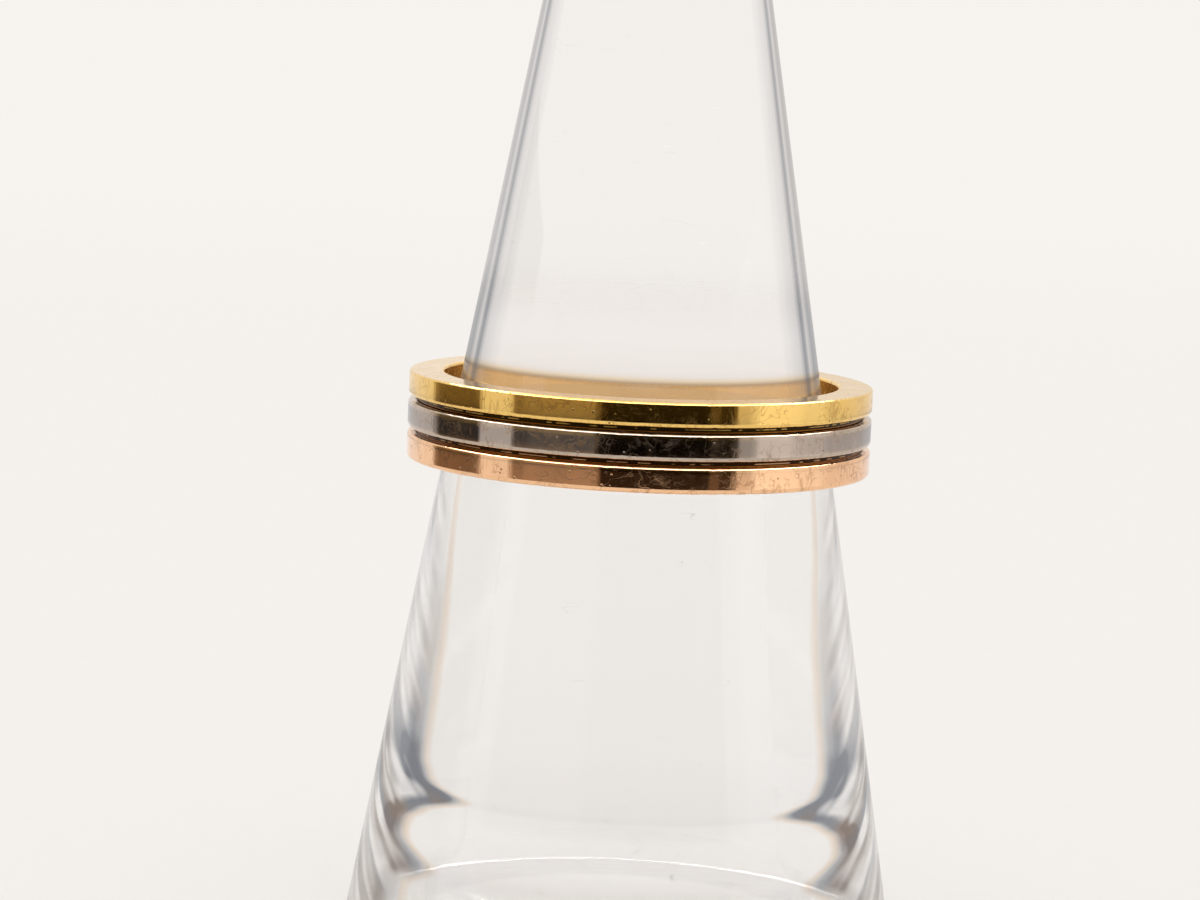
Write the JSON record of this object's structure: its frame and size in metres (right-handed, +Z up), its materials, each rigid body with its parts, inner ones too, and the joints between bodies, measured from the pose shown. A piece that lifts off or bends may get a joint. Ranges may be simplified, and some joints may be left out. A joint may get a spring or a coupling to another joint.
{
  "type": "three-colour band ring on a clear display cone",
  "caption": "Finger ring of three flat bands in yellow, white and rose metal, joined at narrow recessed grooves, resting on a clear tapered display cone.",
  "frame": {"origin": "centre of the cone's base, on the surface that it stands on", "axes": "+Z up along the common axis of the cone and the ring; -Y faces the viewer of the picture, +X to their right"},
  "size_m": [0.0238, 0.0238, 0.0555],
  "materials": {
    "yellow_gold": "polished gold with fine wear scratches",
    "white_gold": "polished white gold with fine wear scratches",
    "rose_gold": "polished rose gold with fine wear scratches",
    "clear_acrylic": "clear polished acrylic"
  },
  "bodies": {
    "root": {"yellow_band": "yellow_gold", "white_band": "white_gold", "rose_band": "rose_gold", "display_cone": "clear_acrylic"}
  },
  "joints": []
}
